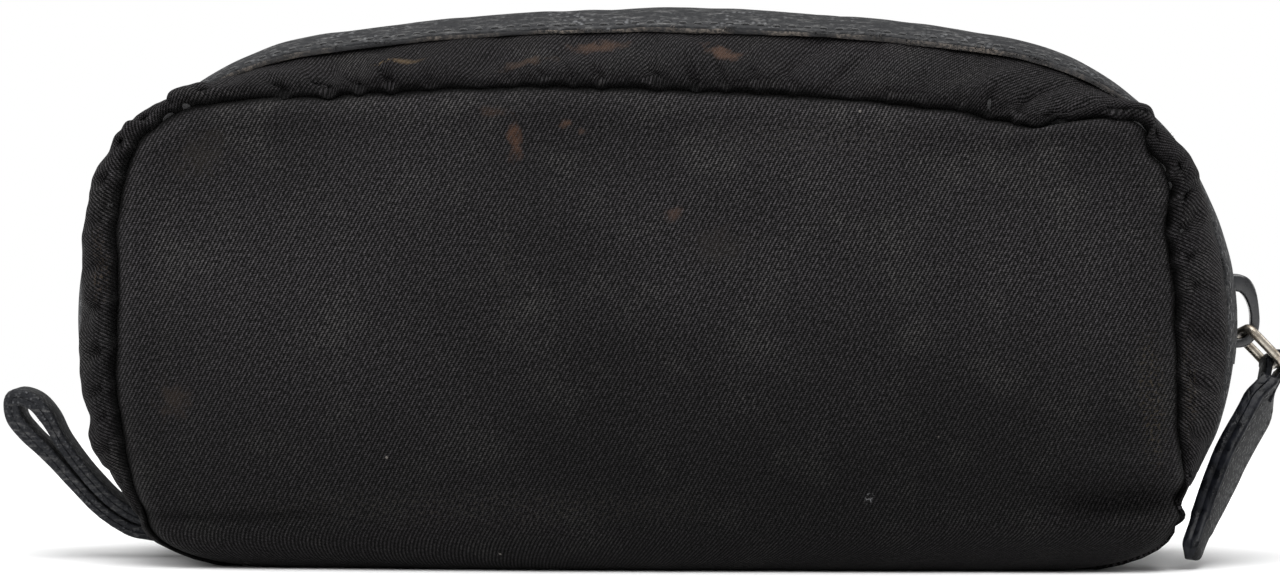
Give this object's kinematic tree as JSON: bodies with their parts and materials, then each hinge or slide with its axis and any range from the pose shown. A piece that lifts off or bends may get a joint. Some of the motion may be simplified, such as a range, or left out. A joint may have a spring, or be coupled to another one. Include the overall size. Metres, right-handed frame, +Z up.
{
  "type": "makeup bag",
  "caption": "Soft loaf-shaped zip-top makeup bag with leather trims, a ringed leather zip pull and an end loop.",
  "frame": {"origin": "centre of the base's flat underside, on the surface the bag stands on", "axes": "+X along the bag towards the end with the zip pull, -Y towards the front panel, +Z up"},
  "size_m": [0.2409, 0.0658, 0.1026],
  "materials": {
    "nylon": "matte black nylon twill",
    "lining": "plain black lining cloth",
    "leather": "worn black embossed leather",
    "zip_tape": "matte black woven tape",
    "zip_teeth": "satin black",
    "black_metal": "satin black enamel",
    "nickel": "dull nickel"
  },
  "bodies": {
    "base": {"base_panel": "nylon", "base_lining": "lining", "left_zip_stop": "black_metal", "right_zip_stop": "black_metal"},
    "front_shell": {"front_panel": "nylon", "front_lining": "lining", "front_gusset": "nylon", "front_gusset_lining": "lining", "front_leather_trim": "leather", "front_zip_tape": "zip_tape", "front_seam_binding": "zip_tape", "front_zip_teeth": "zip_teeth"},
    "back_shell": {"back_panel": "nylon", "back_lining": "lining", "back_gusset": "nylon", "back_gusset_lining": "lining", "back_leather_trim": "leather", "back_zip_tape": "zip_tape", "back_seam_binding": "zip_tape", "back_zip_teeth": "zip_teeth"},
    "slider": {"zip_slider": "black_metal", "slider_bridge": "black_metal"},
    "ring": {"pull_ring": "nickel"},
    "pull": {"pull_tab": "leather"},
    "loop": {"end_loop": "leather"}
  },
  "joints": [
    {"name": "front_open", "type": "hinge", "parent": "base", "child": "front_shell", "pos_m": [0, -0.0296, 0.0083], "axis": [1, 0, 0], "range_deg": [0, 22]},
    {"name": "back_open", "type": "hinge", "parent": "base", "child": "back_shell", "pos_m": [0, 0.0296, 0.0083], "axis": [-1, 0, 0], "range_deg": [0, 22]},
    {"name": "slider_travel", "type": "hinge", "parent": "front_shell", "child": "slider", "pos_m": [0.0546, 0, 0.0445], "axis": [0, -1, 0], "range_deg": [0, 70]},
    {"name": "ring_swing", "type": "hinge", "parent": "slider", "child": "ring", "pos_m": [0.10963, 0, 0.04306], "axis": [0, -1, 0], "range_deg": [0, 80]},
    {"name": "pull_swing", "type": "hinge", "parent": "ring", "child": "pull", "pos_m": [0.11554, 0, 0.03694], "axis": [0.174, -0.9703, 0.1681], "range_deg": [0, 70]},
    {"name": "loop_flex", "type": "hinge", "parent": "base", "child": "loop", "pos_m": [-0.0945, 0, 0.0062], "axis": [0, -1, 0], "range_deg": [0, 30], "stiffness_Nm_per_rad": 0.02}
  ]
}
